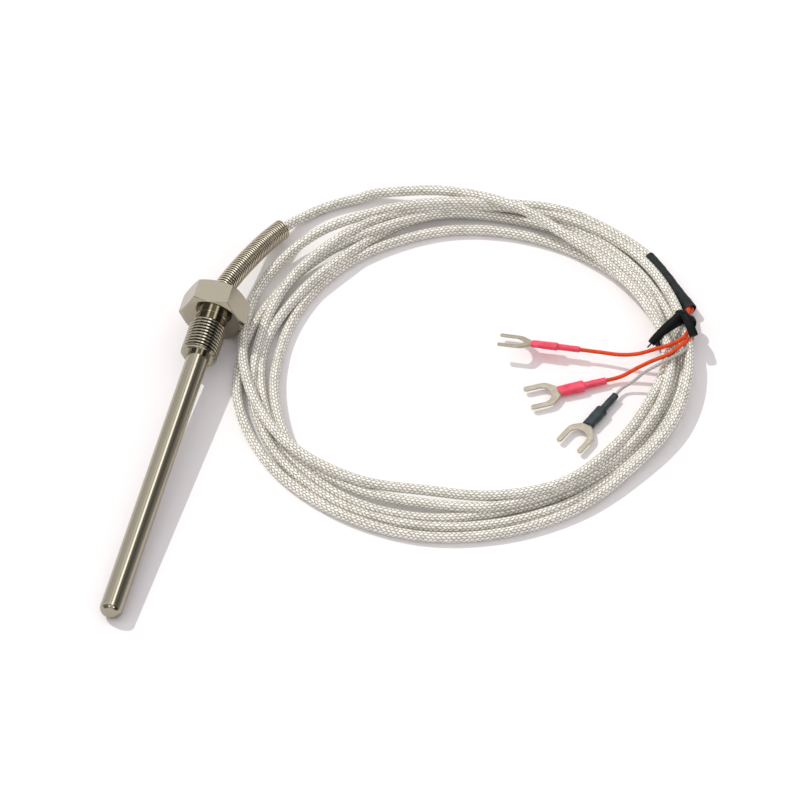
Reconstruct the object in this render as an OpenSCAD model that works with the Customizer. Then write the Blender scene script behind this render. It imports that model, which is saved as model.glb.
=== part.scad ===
// Screw-in resistance temperature probe with a spring-relieved, braided lead cable.
// The probe lies on z = 0 along Y, its tip towards -Y, and the coiled cable lies beside it.

/* [Protection tube] */
// Outside diameter of the closed-end tube
tube_d = 6; // [5:0.1:7]
// Wall thickness of the tube
tube_wall = 0.5; // [0.3:0.05:0.7]
// Thickness of the closed end
tube_end_wall = 1.2; // [0.8:0.1:2]
// Radius rolled round the edge of the closed end
tip_radius = 1.9; // [1:0.1:2.2]
// Insertion length, from the seat of the hexagon to the tip
insertion_len = 98; // [60:1:160]

/* [Screwed fitting] */
// Major diameter of the thread
thread_d = 10; // [9:0.1:12]
// Pitch of the thread
thread_pitch = 1; // [0.75:0.25:1.25]
// Length of the shank below the hexagon, relief groove included
shank_len = 13; // [10:0.5:20]
// Length of the relief groove under the hexagon, its flank included
relief_len = 2.4; // [2.4:0.1:3]
// Length of the flank that rises from the groove to the thread
relief_flank_len = 0.35; // [0.2:0.05:0.35]
// Chamfer at the end of the thread
shank_chamfer = 0.8; // [0.4:0.1:1]
// Hexagon across its flats
hex_af = 16; // [13:0.5:19]
// Height of the hexagon
hex_h = 7.5; // [5:0.5:10]
// Angle of the chamfer on the corners of the hexagon
hex_chamfer_angle = 30; // [20:1:35]
// How far the chamfer cuts in behind the flats at each face
hex_chamfer_inset = 0.25; // [0.1:0.05:0.5]
// Depth to which the tube reaches into the hexagon
tube_seat_depth = 1.6; // [1:0.1:2]

/* [Strain relief spring] */
// Outside diameter of the spring
spring_d = 5.2; // [4.8:0.1:5.6]
// Diameter of the spring wire
spring_wire_d = 0.7; // [0.5:0.05:0.74]
// Distance from one coil to the next
spring_pitch = 0.8; // [0.78:0.01:1]
// Depth of the spring's seat in the back of the hexagon
spring_seat_depth = 3; // [2:0.1:3.4]
// Length of the spring outside the hexagon
spring_len = 35; // [25:1:36]

/* [Sensing core] */
// Diameter of the wound sensing element
element_d = 3; // [2:0.1:3.4]
// Length of the sensing element
element_len = 12; // [8:1:20]
// Length over which the wires are welded into the element
wire_weld_len = 2.5; // [1:0.5:4]
// Length of bare wire between the element and the insulator
splice_len = 2; // [1:0.5:4]
// Diameter of the four-bore insulator
insulator_d = 3.2; // [2.8:0.1:3.6]
// Diameter of each bore in the insulator
insulator_bore_d = 0.7; // [0.6:0.05:0.8]
// Circle that the bores of the insulator lie on
insulator_pcd = 1.5; // [1.3:0.1:1.7]
// Diameter of the core wires
core_wire_d = 0.5; // [0.3:0.05:0.55]
// Length of the potting that seals the tube
potting_len = 11; // [8:1:16]
// Length of cable held inside the potting
cable_grip_len = 6; // [4:0.5:7]

/* [Cable] */
// Outside diameter of the braided cable
cable_d = 2.8; // [2.6:0.1:3]
// Outside radius of the coil of cable
coil_r = 59.5; // [58:0.5:59.5]
// Radius of the hole through the coil
coil_hole_r = 47; // [44:0.5:47.5]
// Height of the coil, two turns high
coil_h = 5.2; // [4.6:0.1:5.4]
// Radius round the edges of the coil
coil_edge_r = 2.3; // [1.5:0.1:2.3]

/* [Cable end] */
// Diameter of the shrink boot where it grips the cable
boot_d = 3.5; // [3.3:0.1:3.7]
// Diameter of the shrink boot at its open end
boot_mouth_d = 4; // [3.8:0.1:4.2]
// Length of the open end, past the taper
boot_mouth_len = 7; // [5:0.5:9]
// Wall thickness of the shrink boot
boot_wall = 0.3; // [0.15:0.05:0.35]
// Width of the tie's strip
tie_w = 2.4; // [1.6:0.1:3]
// Thickness of the tie's strip
tie_t = 0.8; // [0.5:0.1:0.9]

/* [Leads and terminals] */
// Diameter of the two coloured leads
lead_d = 1.1; // [0.9:0.05:1.2]
// Diameter of the clear lead
clear_lead_d = 0.9; // [0.7:0.05:1]
// Width of the fork over both prongs
fork_w = 8; // [7:0.1:9]
// Width of the slot between the prongs
fork_slot_w = 5.6; // [4.3:0.1:5.8]
// Length of the fork from the tips of its prongs to its barrel
fork_len = 8.8; // [8:0.1:10]
// Width of the fork's neck, where the barrel begins
fork_neck_w = 3.4; // [3:0.1:4]
// Length of the sloping shoulders between the neck and the prongs
fork_shoulder_len = 2.6; // [2:0.1:3]
// Metal left between the barrel and the bottom of the slot
fork_web = 1.9; // [1.5:0.1:2.5]
// Thickness of the fork's sheet metal
fork_t = 0.6; // [0.5:0.05:0.8]
// Outside diameter of the fork's barrel
barrel_d = 2.2; // [2:0.05:2.3]
// Length of the fork's barrel
barrel_len = 4.8; // [4:0.1:5.5]
// Metal left between the fork's neck and the bore of the barrel
barrel_floor = 1; // [0.5:0.1:1.5]
// Outside diameter of the sleeve over the barrel
sleeve_d = 2.9; // [2.7:0.05:3.2]
// Length of the sleeve over the barrel
sleeve_len = 6.8; // [6:0.1:8]
// Outside diameter of the sleeve over the lead
sleeve_neck_d = 1.8; // [1.6:0.05:2]
// Length of the sleeve over the lead
sleeve_neck_len = 6.2; // [5:0.1:7]
// Roll of the first fork about its own barrel
fork_roll = 27; // [0:1:35]

/* [Hidden] */
// Clearance of pieces that slip into each other, on the radius
slip = 0.05;
steel = [0.68, 0.66, 0.60];
spring_steel = [0.45, 0.42, 0.36];
tinned = [0.66, 0.63, 0.56];
braid = [0.84, 0.83, 0.76];
ceramic = [0.93, 0.92, 0.88];
powder = [0.86, 0.84, 0.80];
nickel = [0.72, 0.70, 0.64];
epoxy = [0.30, 0.22, 0.16];
black = [0.10, 0.11, 0.11];
red = [0.90, 0.20, 0.30];
orange = [0.90, 0.30, 0.10];
clear = [0.62, 0.62, 0.58];

// The probe's own axis, from the tip at 0: it leans on its tip and on the edge of the hexagon.
round_fn = 96;
hex_land = hex_chamfer_inset * tan(hex_chamfer_angle);
lean_a = hex_af / 2 - tube_d / 2 + tip_radius;
lean_b = insertion_len + hex_land - tip_radius;
lean = acos(tip_radius / norm([lean_a, lean_b])) - atan2(lean_b, lean_a);
tip_z = (tube_d / 2 - tip_radius) * cos(lean) - tip_radius * sin(lean) + tip_radius;
tip_y = -(insertion_len + hex_h) / 2;

hex_back = insertion_len + hex_h;
spring_seat = hex_back - spring_seat_depth;
tube_top = insertion_len + tube_seat_depth;
tube_bore_d = tube_d - 2 * tube_wall;
potting_start = tube_top - potting_len;
cable_start = tube_top - cable_grip_len;
element_start = tube_end_wall + 2;
wire_start = element_start + element_len - wire_weld_len;
insulator_start = element_start + element_len + splice_len;
insulator_end = potting_start;
relief_d = thread_d - 1.6 * thread_pitch;

// A point on the probe's axis, at a distance from its tip
function on_axis(s) = [0, tip_y + s * cos(lean), tip_z + s * sin(lean)];

// Route of the cable from the fitting to the coil, each point the middle of the cable
cable_route = concat(
    [on_axis(cable_start), on_axis(spring_seat), on_axis(hex_back)],
    [
        [0.2, 56, 7.3], [1.4, 60, 7.2], [2.8, 66, 6.8], [4.7, 73.5, 5.6], [6.8, 80.5, 4.1],
        [9.6, 87, 2.9], [12.4, 91.6, 1.9], [16.7, 96.5, 1.5], [21.4, 100.2, 1.4],
        [26.5, 103.2, 1.4], [31.5, 105.8, 1.4], [36.5, 107.9, 1.6], [41.5, 109.3, 2.2],
        [47, 110, 2.6], [52, 109.8, 2.6]
    ]
);
// Route of the cable's last stretch, from the coil to the shrink boot
cable_tail_route = [[86, 108.5, 2.4], [91, 108.5, 2.3], [96.5, 106.9, 2.2], [102, 104.3, 2.2]];
// Line of the shrink boot
boot_route = [
    [106.2, 101.8, 2.2], [109.6, 99, 2.2], [112.6, 96.1, 2.2], [115.6, 92.9, 2.2],
    [118.2, 89.9, 2.2], [120.8, 86.8, 2.2], [122.8, 84.4, 2.2]
];
// Routes of the three leads, from the end of the cable to their terminals
lead_1_route = [
    [120.9, 86.7, 3], [122.45, 84.1, 3.15], [122.4, 81.6, 4.5], [123.1, 78.1, 5.1],
    [124.2, 75.2, 5.1], [124, 72.3, 5.8], [122.8, 69.4, 6.5], [120.2, 66.9, 6.6],
    [116.8, 64.9, 6.2], [112.8, 63.6, 4.8], [108.1, 63, 3.8], [102.6, 62.9, 3.4], [96.2, 62.4, 3.4]
];
lead_2_route = [
    [121.4, 87.1, 2.1], [123.3, 84.8, 2], [122, 81.3, 3.1], [123.6, 78.6, 3.9],
    [125.3, 76, 4.2], [125.4, 73, 4.8], [124.5, 70, 6], [123, 66.9, 6.5], [120.8, 63.8, 6.5],
    [117, 60.9, 6], [113.4, 59.4, 3.8], [109.6, 57.3, 1.7], [105, 54.6, 1.45]
];
lead_3_route = [
    [120.4, 86.3, 1.7], [122.2, 83.95, 1.62], [121.8, 81.2, 1.7], [123.5, 78.5, 2.7],
    [125.2, 76.2, 2.9], [126, 72.6, 3.8], [125.6, 69.2, 5.2], [124.2, 65.8, 6.2],
    [121.6, 62.6, 6.4], [118.8, 59.6, 6.3], [116, 57.2, 5.5], [113.2, 55.4, 2.8],
    [110.7, 53.4, 1.55], [109.2, 49.8, 1.45]
];

// Centres of the coil's outside and of its hole, then the tie's loop, knot and two ends
coil_at = [67.6, 52.2];
coil_hole_at = [70.4, 52.6];
tie_at = [120.6, 74.9];
tie_turn = 50;
tie_len = 12.2;
tie_rise = coil_h + 2 * tie_t;
tie_bend_r = 1.6;
tie_knot = [121.9, 78, tie_rise + 0.3];
tie_outer_end = [126.1, 73.3, 6.2];
tie_bend = [117, 70.8, tie_rise + 0.3];
tie_inner_end = [115, 68.2, 6];

// Each terminal: the end of its barrel, the way it points, its roll and its height
fork_1 = [[84.2, 61.5], 184.5];
fork_2 = [[94.7, 48.5], 210.5];
fork_3 = [[104.6, 38.7], 247.5];
fork_z = sleeve_d / 2;
fork_1_z = 3.4;

// ---- Curves ----

// A smooth curve through the middle two of four points, for t from 0 to 1
function curve(a, b, c, d, t) =
    0.5 * (2 * b + (c - a) * t + (2 * a - 5 * b + 4 * c - d) * t * t
        + (3 * b - a - 3 * c + d) * t * t * t);

// The whole route as points on that curve, with a number of steps for each pair
function smooth(p, steps) = concat(
    [
        for (i = [0:len(p) - 2], k = [0:steps - 1])
            curve(p[max(i - 1, 0)], p[i], p[i + 1], p[min(i + 2, len(p) - 1)], k / steps)
    ],
    [p[len(p) - 1]]
);

// Distance along a row of points, one value for each point
function run(p) = [for (i = 0, s = 0; i < len(p); i = i + 1, s = s + (i < len(p)
    ? norm(p[i] - p[i - 1]) : 0)) s];

function unit(v) = v / norm(v);

// The same row of points with one more added at each end, straight on
function lengthened(p, by) = let (n = len(p)) [
    p[0] - by * unit(p[1] - p[0]), each p, p[n - 1] + by * unit(p[n - 1] - p[n - 2])
];

// Position at a distance along a row of points
function at(p, d, s) = [
    for (axis = [0:2]) lookup(s, [for (i = [0:len(p) - 1]) [d[i], p[i][axis]]])
];

// Closed skin over a row of rings, all of them with the same number of sides
module skin(rings, sides) {
    n = len(rings) / sides;
    walls = [
        for (i = [0:n - 2], k = [0:sides - 1])
            let (next = (k + 1) % sides)
            [i * sides + k, i * sides + next, (i + 1) * sides + next, (i + 1) * sides + k]
    ];
    first = [for (k = [sides - 1:-1:0]) k];
    last = [for (k = [0:sides - 1]) (n - 1) * sides + k];
    polyhedron(rings, concat(walls, [first, last]), convexity = 10);
}

// A tube along a row of points, its radii given one for each point
module swept(p, radii, sides) {
    n = len(p);
    rings = [
        for (i = [0:n - 1])
            let (
                way = unit(p[min(i + 1, n - 1)] - p[max(i - 1, 0)]),
                side = unit(cross(way, [0, 0, 1])),
                rise = cross(side, way)
            )
            for (k = [0:sides - 1])
                p[i] + radii[i] * (cos(360 * k / sides) * side + sin(360 * k / sides) * rise)
    ];
    skin(rings, sides);
}

// A cord of one thickness along a route
module cord(route, d, steps, sides = 8) {
    p = smooth(route, steps);
    swept(p, [for (q = p) d / 2], sides);
}

// ---- Probe ----

// Places what is drawn along +Z from the tip on the probe's own axis
module on_probe() {
    translate(on_axis(0)) rotate([lean - 90, 0, 0]) children();
}

module rod(d, from, to) {
    translate([0, 0, from]) cylinder(d = d, h = to - from, $fn = round_fn);
}

// Half section of the closed tube: a rolled tip, a straight wall and an open back
module protection_tube() {
    color(steel) on_probe() difference() {
        rotate_extrude($fn = round_fn) {
            translate([0, tip_radius]) square([tube_d / 2, tube_top - tip_radius]);
            square([tube_d / 2 - tip_radius, tip_radius]);
            intersection() {
                translate([tube_d / 2 - tip_radius, tip_radius]) circle(r = tip_radius, $fn = 48);
                square([tube_d / 2, tip_radius]);
            }
        }
        rod(tube_bore_d, tube_end_wall, tube_top + 1);
    }
}

// Hexagon with its corners turned off by a cone at each face
module chamfered_hex() {
    corner_r = hex_af / 2 / cos(30);
    face_r = hex_af / 2 - hex_chamfer_inset;
    drop = (corner_r - face_r) * tan(hex_chamfer_angle);
    intersection() {
        translate([0, 0, insertion_len]) cylinder(r = corner_r, h = hex_h, $fn = 6);
        rotate_extrude($fn = round_fn) polygon([
            [0, insertion_len], [face_r, insertion_len], [corner_r + 0.01, insertion_len + drop],
            [corner_r + 0.01, hex_back - drop], [face_r, hex_back], [0, hex_back]
        ]);
    }
}

// Threaded shank as its full cylinder, with the lead-in chamfer and the relief groove
module shank() {
    shank_end = insertion_len - shank_len;
    r = thread_d / 2;
    rotate_extrude($fn = round_fn) polygon([
        [0, shank_end], [r - shank_chamfer, shank_end], [r, shank_end + shank_chamfer],
        [r, insertion_len - relief_len], [relief_d / 2, insertion_len - relief_len + relief_flank_len],
        [relief_d / 2, insertion_len + slip], [0, insertion_len + slip]
    ]);
}

module hex_fitting() {
    color(steel) on_probe() difference() {
        union() {
            chamfered_hex();
            shank();
        }
        rod(tube_d, insertion_len - shank_len - 1, tube_top);
        rod(cable_d + 6 * slip, tube_top - 0.1, spring_seat + 0.1);
        rod(spring_d + 2 * slip, spring_seat, hex_back + 1);
    }
}

module sensing_element() {
    color(ceramic) on_probe() difference() {
        rod(element_d, element_start, element_start + element_len);
        bores(wire_start - slip, element_start + element_len + 1);
    }
}

// Four small bores on one circle, or the wires that lie in three of them
module bores(from, to) {
    for (k = [0:3]) rotate([0, 0, 90 * k]) translate([insulator_pcd / 2, 0, 0])
        rod(insulator_bore_d, from, to);
}

module insulator_core() {
    color(ceramic) on_probe() difference() {
        rod(insulator_d, insulator_start, insulator_end);
        bores(insulator_start - 1, insulator_end + 1);
    }
}

module core_wire(k) {
    color(nickel) on_probe() rotate([0, 0, 90 * k]) translate([insulator_pcd / 2, 0, 0])
        rod(core_wire_d, wire_start, cable_start);
}

// Mineral powder packed round the element and the insulator
module powder_fill() {
    color(powder) on_probe() difference() {
        rod(tube_bore_d, tube_end_wall, potting_start);
        rod(max(element_d, insulator_d), element_start, potting_start + 1);
    }
}

module potting_plug() {
    color(epoxy) on_probe() difference() {
        rod(tube_bore_d, potting_start, tube_top);
        rod(cable_d + 2 * slip, cable_start, tube_top + 1);
        for (k = [0:2]) rotate([0, 0, 90 * k]) translate([insulator_pcd / 2, 0, 0])
            rod(core_wire_d + 2 * slip, potting_start - 1, cable_start + 1);
    }
}

// ---- Spring ----

// Close-wound spring: round wire on a helix that follows the cable's route
module strain_relief_spring() {
    line = smooth(cable_route, 6);
    dist = run(line);
    start = norm(on_axis(spring_seat) - on_axis(cable_start)) + spring_wire_d / 2 + slip;
    reach = spring_len + spring_seat_depth - spring_wire_d - slip;
    per_turn = 12;
    sides = 5;
    mean_r = (spring_d - spring_wire_d) / 2;
    n = floor(reach / spring_pitch * per_turn);
    rings = [
        for (i = [0:n])
            let (
                s = start + spring_pitch * i / per_turn,
                way = unit(at(line, dist, s + spring_wire_d) - at(line, dist, s - spring_wire_d)),
                side = unit(cross(way, [0, 0, 1])),
                rise = cross(side, way),
                out = cos(360 * i / per_turn) * side + sin(360 * i / per_turn) * rise,
                middle = at(line, dist, s) + mean_r * out
            )
            for (k = [0:sides - 1])
                middle + spring_wire_d / 2 * (cos(360 * k / sides) * out - sin(360 * k / sides) * way)
    ];
    color(spring_steel) skin(rings, sides);
}

// ---- Cable ----

module cable_lead_in() {
    color(braid) cord(cable_route, cable_d, 1);
}

// Outer form of the wound turns: a round-edged disc with an off-centre hole, notched by the tie
module cable_coil() {
    color(braid) difference() {
        translate([coil_at.x, coil_at.y, 0]) rotate_extrude($fn = 180) coil_half_section();
        translate([coil_hole_at.x, coil_hole_at.y, -1])
            cylinder(r = coil_hole_r, h = coil_h + 2, $fn = 180);
        across_bundle(tie_w + 2 * slip) difference() {
            square([coil_r, 3 * coil_h], center = true);
            tie_outline(-slip);
        }
    }
}

// Rectangle from the middle of the coil to its outside, its outer corners rounded
module coil_half_section() {
    square([coil_r - coil_edge_r, coil_h]);
    translate([0, coil_edge_r]) square([coil_r, coil_h - 2 * coil_edge_r]);
    for (z = [coil_edge_r, coil_h - coil_edge_r])
        translate([coil_r - coil_edge_r, z]) circle(r = coil_edge_r, $fn = 48);
}

// The cable's end lies in the boot, short of its mouth
module cable_tail() {
    inside = [for (i = [0:len(boot_route) - 2]) boot_route[i]];
    color(braid) cord(concat(cable_tail_route, inside), cable_d, 2);
}

// Shrink boot over the end of the cable: a grip on the jacket, a taper and a wider open mouth
module cable_end_boot() {
    p = smooth(boot_route, 2);
    d = run(p);
    mouth_at = d[len(d) - 1] - boot_mouth_len;
    taper_len = 4;
    function grow(s) = max(0, min(1, (s - mouth_at + taper_len) / taper_len));
    outer = [for (s = d) (boot_d + (boot_mouth_d - boot_d) * grow(s)) / 2];
    color(black) difference() {
        swept(p, outer, 16);
        swept(lengthened(p, 1), [outer[0] - boot_wall, each outer - boot_wall * [for (s = d) 1],
            boot_mouth_d / 2 - boot_wall], 16);
    }
}

// ---- Tie ----

module tie_outline(extra) {
    w = tie_len + 2 * extra;
    h = tie_rise - 2 * tie_t + 2 * extra;
    r = tie_bend_r + extra;
    for (x = [-1, 1], z = [-1, 1])
        translate([x * (w / 2 - r), z * (h / 2 - r)]) circle(r = r, $fn = 32);
    square([w - 2 * r, h], center = true);
    square([w, h - 2 * r], center = true);
}

// Stands a flat shape up across the bundle, at the tie
module across_bundle(w) {
    translate([tie_at.x, tie_at.y, tie_rise / 2]) rotate([90, 0, tie_turn])
        linear_extrude(w, center = true) children();
}

// A flat strip laid from one point to another
module strip(from, to, w, t) {
    v = to - from;
    translate(from) rotate([0, atan2(norm([v.x, v.y]), v.z), atan2(v.y, v.x)])
        translate([-t / 2, -w / 2, 0]) cube([t, w, norm(v)]);
}

// The loop of the tie, with both ends of its strip brought out from the knot on top
module twist_tie() {
    color(black) {
        across_bundle(tie_w) difference() {
            tie_outline(tie_t);
            tie_outline(0);
        }
        strip(tie_knot, tie_outer_end, tie_w, tie_t);
        strip(tie_knot, tie_bend, tie_w, tie_t);
        strip(tie_bend, tie_inner_end, tie_w, tie_t);
    }
}

// ---- Leads and terminals ----

module lead(route, d) {
    cord(route, d, 1);
}

// Fork punched from sheet: round-ended prongs, sloping shoulders and a narrow neck
module fork_plate() {
    prong_w = (fork_w - fork_slot_w) / 2;
    prong_y = (fork_w - prong_w) / 2;
    prong_x = fork_len - prong_w / 2;
    slot_r = fork_slot_w / 2;
    difference() {
        union() {
            for (s = [-1, 1]) translate([prong_x, s * prong_y]) circle(d = prong_w, $fn = 32);
            polygon([
                [0, -fork_neck_w / 2], [fork_shoulder_len, -fork_w / 2], [prong_x, -fork_w / 2],
                [prong_x, fork_w / 2], [fork_shoulder_len, fork_w / 2], [0, fork_neck_w / 2]
            ]);
        }
        translate([fork_web + slot_r, 0]) circle(r = slot_r, $fn = 48);
        translate([fork_web + slot_r, -slot_r]) square([fork_len, fork_slot_w]);
    }
}

// A terminal in its own frame: the barrel along -X from the origin and the prongs along +X
module fork_terminal() {
    color(tinned) difference() {
        union() {
            linear_extrude(fork_t, center = true) fork_plate();
            translate([barrel_d / 4, 0, 0]) rotate([0, -90, 0])
                cylinder(d = barrel_d, h = barrel_len + barrel_d / 4, $fn = 48);
        }
        translate([-barrel_floor, 0, 0]) rotate([0, -90, 0])
            cylinder(d = lead_d + 2 * slip, h = barrel_len, $fn = 32);
    }
}

// Shrink sleeve over the barrel and the start of the lead
module terminal_sleeve(wire_d) {
    step = 0.8;
    bore = barrel_d / 2 + slip;
    narrow = wire_d / 2 + slip;
    rotate([0, -90, 0]) rotate_extrude($fn = 64) polygon([
        [bore, slip], [sleeve_d / 2, slip], [sleeve_d / 2, sleeve_len],
        [sleeve_neck_d / 2, sleeve_len + step], [sleeve_neck_d / 2, sleeve_len + sleeve_neck_len],
        [narrow, sleeve_len + sleeve_neck_len], [narrow, barrel_len + 0.4], [bore, barrel_len + slip]
    ]);
}

module at_fork(place, z, roll = 0) {
    translate([place[0].x, place[0].y, z]) rotate([0, 0, place[1]]) rotate([roll, 0, 0]) children();
}

protection_tube();
hex_fitting();
sensing_element();
insulator_core();
core_wire(0);  // core_wire_1
core_wire(1);  // core_wire_2
core_wire(2);  // core_wire_3
powder_fill();
potting_plug();
strain_relief_spring();
cable_lead_in();
cable_coil();
cable_tail();
cable_end_boot();
twist_tie();
color(orange) lead(lead_1_route, lead_d);  // lead_orange_1
color(orange) lead(lead_2_route, lead_d);  // lead_orange_2
color(clear) lead(lead_3_route, clear_lead_d);  // lead_clear
at_fork(fork_1, fork_1_z, fork_roll) fork_terminal();  // fork_terminal_1
at_fork(fork_2, fork_z) fork_terminal();  // fork_terminal_2
at_fork(fork_3, fork_z) fork_terminal();  // fork_terminal_3
color(red) at_fork(fork_1, fork_1_z, fork_roll) terminal_sleeve(lead_d);  // sleeve_red_1
color(red) at_fork(fork_2, fork_z) terminal_sleeve(lead_d);  // sleeve_red_2
color(black) at_fork(fork_3, fork_z) terminal_sleeve(clear_lead_d);  // sleeve_black
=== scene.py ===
# %% [markdown]
# # A screw-in temperature probe and its coil of braided cable
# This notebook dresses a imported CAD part. The part is a steel probe tube with a threaded hexagon
# fitting, a close-wound spring, and about 1.9 metres of thin braided cable that ends in three fork
# terminals. The first cell loads the CAD solids as a fixed frame. Blender counts in metres, so a
# length that is written in millimetres is multiplied by mm before it gets there. Every place is a
# place on that frame, so nothing has to be moved into position afterwards.

# %% Load the frame
import bpy
import numpy as np
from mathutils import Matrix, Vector


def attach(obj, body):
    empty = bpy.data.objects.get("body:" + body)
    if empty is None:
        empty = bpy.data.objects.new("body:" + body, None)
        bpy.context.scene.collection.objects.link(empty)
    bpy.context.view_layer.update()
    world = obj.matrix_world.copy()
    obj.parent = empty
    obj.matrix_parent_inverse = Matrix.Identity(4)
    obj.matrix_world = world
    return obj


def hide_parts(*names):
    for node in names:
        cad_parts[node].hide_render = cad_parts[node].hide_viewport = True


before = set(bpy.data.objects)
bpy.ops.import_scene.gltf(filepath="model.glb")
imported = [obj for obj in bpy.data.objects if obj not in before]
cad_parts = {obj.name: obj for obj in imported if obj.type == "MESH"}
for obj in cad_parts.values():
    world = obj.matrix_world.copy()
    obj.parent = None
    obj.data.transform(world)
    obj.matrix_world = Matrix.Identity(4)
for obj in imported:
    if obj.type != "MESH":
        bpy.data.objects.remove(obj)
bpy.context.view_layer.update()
mm = 0.001
print("solids in the frame:", len(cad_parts))

# %% [markdown]
# ## Where we look from
# A long lens from far away keeps parallel edges nearly parallel, as a catalogue picture does. The
# camera is aimed at a point on the floor: Blender turns a direction into a rotation with
# to_track_quat, so we never have to work out angles by hand.

# %% Camera
scene = bpy.context.scene
lens = bpy.data.cameras.new("camera")
lens.lens, lens.sensor_width = 203.27, 36.0
lens.clip_start, lens.clip_end = 0.05, 20.0
camera = bpy.data.objects.new("camera", lens)
scene.collection.objects.link(camera)
camera.location = (0.2393, -0.7121, 0.9193)
look_at = Vector((0.05414, 0.03668, 0.0))
camera.rotation_euler = (look_at - camera.location).to_track_quat("-Z", "Y").to_euler()
scene.camera = camera
scene.view_settings.view_transform = "Standard"
print("camera is", round((look_at - camera.location).length, 3), "m from the middle of the part")

# %% [markdown]
# ## Small tools for curves
# A cord's route is a short list of points. To draw it we need a smooth line through them. A
# Catmull-Rom curve passes through every point and takes its direction there from the two
# neighbours. It is computed for all stretches at once: numpy broadcasts the four control points of
# each stretch against one shared list of positions between 0 and 1.

# %% Smooth lines
def unit(v):
    """Each vector divided by its own length."""
    return v / np.maximum(np.linalg.norm(v, axis=-1, keepdims=True), 1e-12)


def smooth_line(points, per=10):
    """Catmull-Rom: b + t/2 (c - a + t (2a - 5b + 4c - d + t (3(b - c) + d - a)))."""
    p = np.asarray(points, float)
    p = np.vstack([2 * p[0] - p[1], p, 2 * p[-1] - p[-2]])
    a, b, c, d = (p[k:len(p) - 3 + k][:, None, :] for k in range(4))
    t = np.linspace(0, 1, per, endpoint=False)[None, :, None]
    line = b + 0.5 * t * (c - a + t * (2 * a - 5 * b + 4 * c - d + t * (3 * (b - c) + d - a)))
    return np.vstack([line.reshape(-1, 3), p[-2]])


def rounded(v, power):
    """sgn(v) |v|^power: with a power below 1, a cosine or sine draws a rounded rectangle."""
    return np.sign(v) * np.abs(v) ** power


def run_of(line):
    """Distance along a line at each of its points: the running sum of its steps."""
    return np.concatenate([[0.0], np.cumsum(np.linalg.norm(np.diff(line, axis=0), axis=1))])


def along(line, s):
    """The points of a line at the distances s from its start."""
    run = run_of(line)
    return np.stack([np.interp(s, run, line[:, k]) for k in range(3)], -1)


def evenly(line, step):
    """The same line with its points a fixed step apart."""
    total = run_of(line)[-1]
    return along(line, np.linspace(0, total, max(3, int(round(total / step)) + 1)))


def frames(line):
    """Three directions at each point: forward, sideways (forward x up) and the third across."""
    way = unit(np.gradient(line, axis=0))
    side = unit(np.cross(way, [0.0, 0.0, 1.0]))
    return way, side, np.cross(side, way)

# %% [markdown]
# ## From a grid of points to a mesh
# Every piece here is a surface: a grid of points, one row for each place along it and one column
# for each place around it. Neighbouring points make four-sided faces. We store how far along and
# how far around each corner is in a UV map, so that a weave or a twist can follow the piece later.

# %% Grid to mesh
def grid_faces(rows, cols, first=0, around=True):
    """Corners of the faces between row i and i + 1, wrapping from the last column to the first."""
    i, j = np.meshgrid(np.arange(rows - 1), np.arange(cols if around else cols - 1), indexing="ij")
    a, b = i * cols + j, i * cols + (j + 1) % cols
    return first + np.stack([a, b, b + cols, a + cols], -1).reshape(-1, 4), i, j


def make_piece(name, shells, smooth_angle=40):
    """One object from several closed shells. A shell is (grid, distance along each row, closed)."""
    points, faces, uv, first = [], [], [], 0
    for grid, run, closed in shells:
        rows, cols = grid.shape[:2]
        quads, i, j = grid_faces(rows, cols, first)
        corner_u = np.stack([run[i], run[i], run[i + 1], run[i + 1]], -1)
        corner_v = np.stack([j, j + 1, j + 1, j], -1) / cols
        points.append(grid.reshape(-1, 3))
        faces += quads.tolist()
        uv.append(np.stack([corner_u, corner_v], -1).reshape(-1, 2))
        if not closed:
            ends = np.arange(cols)
            faces += [(first + ends[::-1]).tolist(), (first + (rows - 1) * cols + ends).tolist()]
            uv.append(np.repeat([[run[0], 0.0], [run[-1], 0.0]], cols, axis=0))
        first += rows * cols
    mesh = bpy.data.meshes.new(name)
    mesh.from_pydata(np.vstack(points), [], faces)
    layer = mesh.uv_layers.new(name="along_and_around")
    layer.data.foreach_set("uv", np.vstack(uv).astype(np.float32).ravel())
    mesh.shade_smooth()
    mesh.set_sharp_from_angle(angle=np.radians(smooth_angle))
    mesh.update()
    piece = bpy.data.objects.new(name, mesh)
    scene.collection.objects.link(piece)
    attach(piece, "root")
    print(f"{name}: {len(mesh.polygons)} faces")
    return piece


def tube_shell(line, radius, sides=12):
    """Rings on a line: point + radius (cos a side + sin a across), a going once round."""
    _, side, across = frames(line)
    a = np.linspace(0, 2 * np.pi, sides, endpoint=False)
    r = np.broadcast_to(np.asarray(radius, float), (len(line),))[:, None, None]
    grid = line[:, None] + r * (np.cos(a)[:, None] * side[:, None] + np.sin(a)[:, None] * across[:, None])
    return grid, run_of(line), False

# %% [markdown]
# ## Finishes from nodes
# A material is a small graph. To keep the graphs readable we add nodes with one short helper: it
# makes a node, sets its plain inputs by name and links the ones that are given as sockets. What is
# the same all over a surface is set straight on the Principled shader, because an exporter can
# read it there.

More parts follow.
